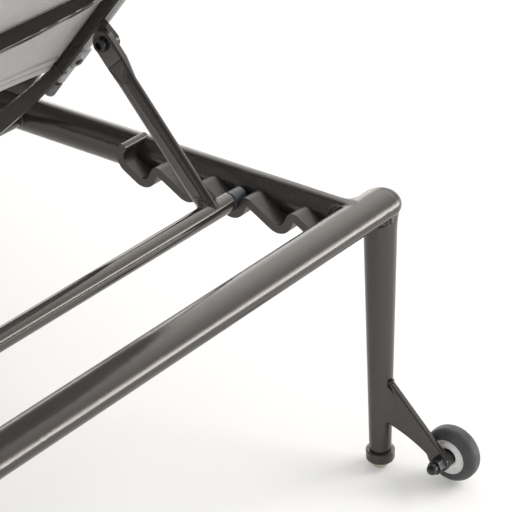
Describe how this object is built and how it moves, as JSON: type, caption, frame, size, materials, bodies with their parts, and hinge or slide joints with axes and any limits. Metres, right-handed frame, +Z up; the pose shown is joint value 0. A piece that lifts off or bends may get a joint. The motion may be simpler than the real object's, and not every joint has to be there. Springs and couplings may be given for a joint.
{
  "type": "reclining sun lounger",
  "caption": "Sling sun lounger with a reclining back held by a swinging prop in notched side racks, on tapered tube legs with rear wheels.",
  "frame": {"origin": "centre of the bounding box on the ground under the feet", "axes": "+X towards the head end with the wheels, +Y towards the right-hand side of a person lying on it, +Z up"},
  "size_m": [1.7905, 0.704, 0.9508],
  "materials": {
    "frame_paint": "glossy dark bronze-grey paint",
    "sling_fabric": "woven light grey mesh sling",
    "tyre_rubber": "smooth grey rubber",
    "hub_metal": "bright cast metal",
    "bearing_steel": "ground steel",
    "sleeve_nylon": "blue-grey nylon",
    "grey_plastic": "moulded grey plastic",
    "glide_plastic": "cream plastic",
    "cup_metal": "dark grey painted cup",
    "fastener_steel": "dark plated steel",
    "spacer_plastic": "black plastic"
  },
  "bodies": {
    "base": {"acorn_nuts": "fastener_steel", "axle_bolts": "fastener_steel", "axle_spacers": "spacer_plastic", "foot_cups": "cup_metal", "foot_glides": "glide_plastic", "front_cross_tube": "frame_paint", "hinge_boss_left": "frame_paint", "hinge_boss_right": "frame_paint", "hinge_guard_left": "frame_paint", "hinge_guard_right": "frame_paint", "hinge_pins": "fastener_steel", "leg_front_left": "frame_paint", "leg_front_right": "frame_paint", "leg_rear_left": "frame_paint", "leg_rear_right": "frame_paint", "rear_cross_tube": "frame_paint", "recline_rack_left": "frame_paint", "recline_rack_right": "frame_paint", "seat_brace_1": "frame_paint", "seat_brace_2": "frame_paint", "seat_brace_3": "frame_paint", "seat_brace_4": "frame_paint", "seat_rail_caps": "grey_plastic", "seat_saddles": "grey_plastic", "seat_sling": "sling_fabric", "seat_sling_rail_left": "frame_paint", "seat_sling_rail_right": "frame_paint", "side_rail_left": "frame_paint", "side_rail_right": "frame_paint", "wheel_arm_left": "frame_paint", "wheel_arm_right": "frame_paint"},
    "backrest": {"back_brace_lower": "frame_paint", "back_brace_upper": "frame_paint", "back_rail_caps": "grey_plastic", "back_rail_left": "frame_paint", "back_rail_right": "frame_paint", "back_saddle_screws": "fastener_steel", "back_saddles": "grey_plastic", "back_sling": "sling_fabric", "back_sling_rail_left": "frame_paint", "back_sling_rail_right": "frame_paint", "back_top_bar": "frame_paint", "hinge_arm_left": "frame_paint", "hinge_arm_right": "frame_paint", "hinge_bushes": "sleeve_nylon", "prop_lug_left": "frame_paint", "prop_lug_right": "frame_paint", "prop_pivot_bolts": "fastener_steel"},
    "prop": {"prop_arm_left": "frame_paint", "prop_arm_right": "frame_paint", "prop_bar": "frame_paint", "prop_sleeve_left": "sleeve_nylon", "prop_sleeve_right": "sleeve_nylon"},
    "wheel_left": {"wheel_tyre_left": "tyre_rubber", "wheel_hub_left": "hub_metal", "wheel_bearings_left": "bearing_steel"},
    "wheel_right": {"wheel_tyre_right": "tyre_rubber", "wheel_hub_right": "hub_metal", "wheel_bearings_right": "bearing_steel"}
  },
  "joints": [
    {"name": "backrest_recline", "type": "hinge", "parent": "base", "child": "backrest", "pos_m": [0.28975, 0, 0.331], "axis": [0, -1, 0], "range_deg": [-42.5, 13]},
    {"name": "prop_swing", "type": "hinge", "parent": "backrest", "child": "prop", "pos_m": [0.49392, 0, 0.49451], "axis": [0, -1, 0], "range_deg": [-63.75, 19.5]},
    {"name": "wheel_left_spin", "type": "hinge", "parent": "base", "child": "wheel_left", "pos_m": [0.86175, -0.3345, 0.037], "axis": [0, 1, 0], "continuous": true},
    {"name": "wheel_right_spin", "type": "hinge", "parent": "base", "child": "wheel_right", "pos_m": [0.86175, 0.3345, 0.037], "axis": [0, 1, 0], "continuous": true}
  ],
  "couplings": [
    {"joint": "prop_swing", "follows": "backrest_recline", "ratio": 1.5}
  ]
}
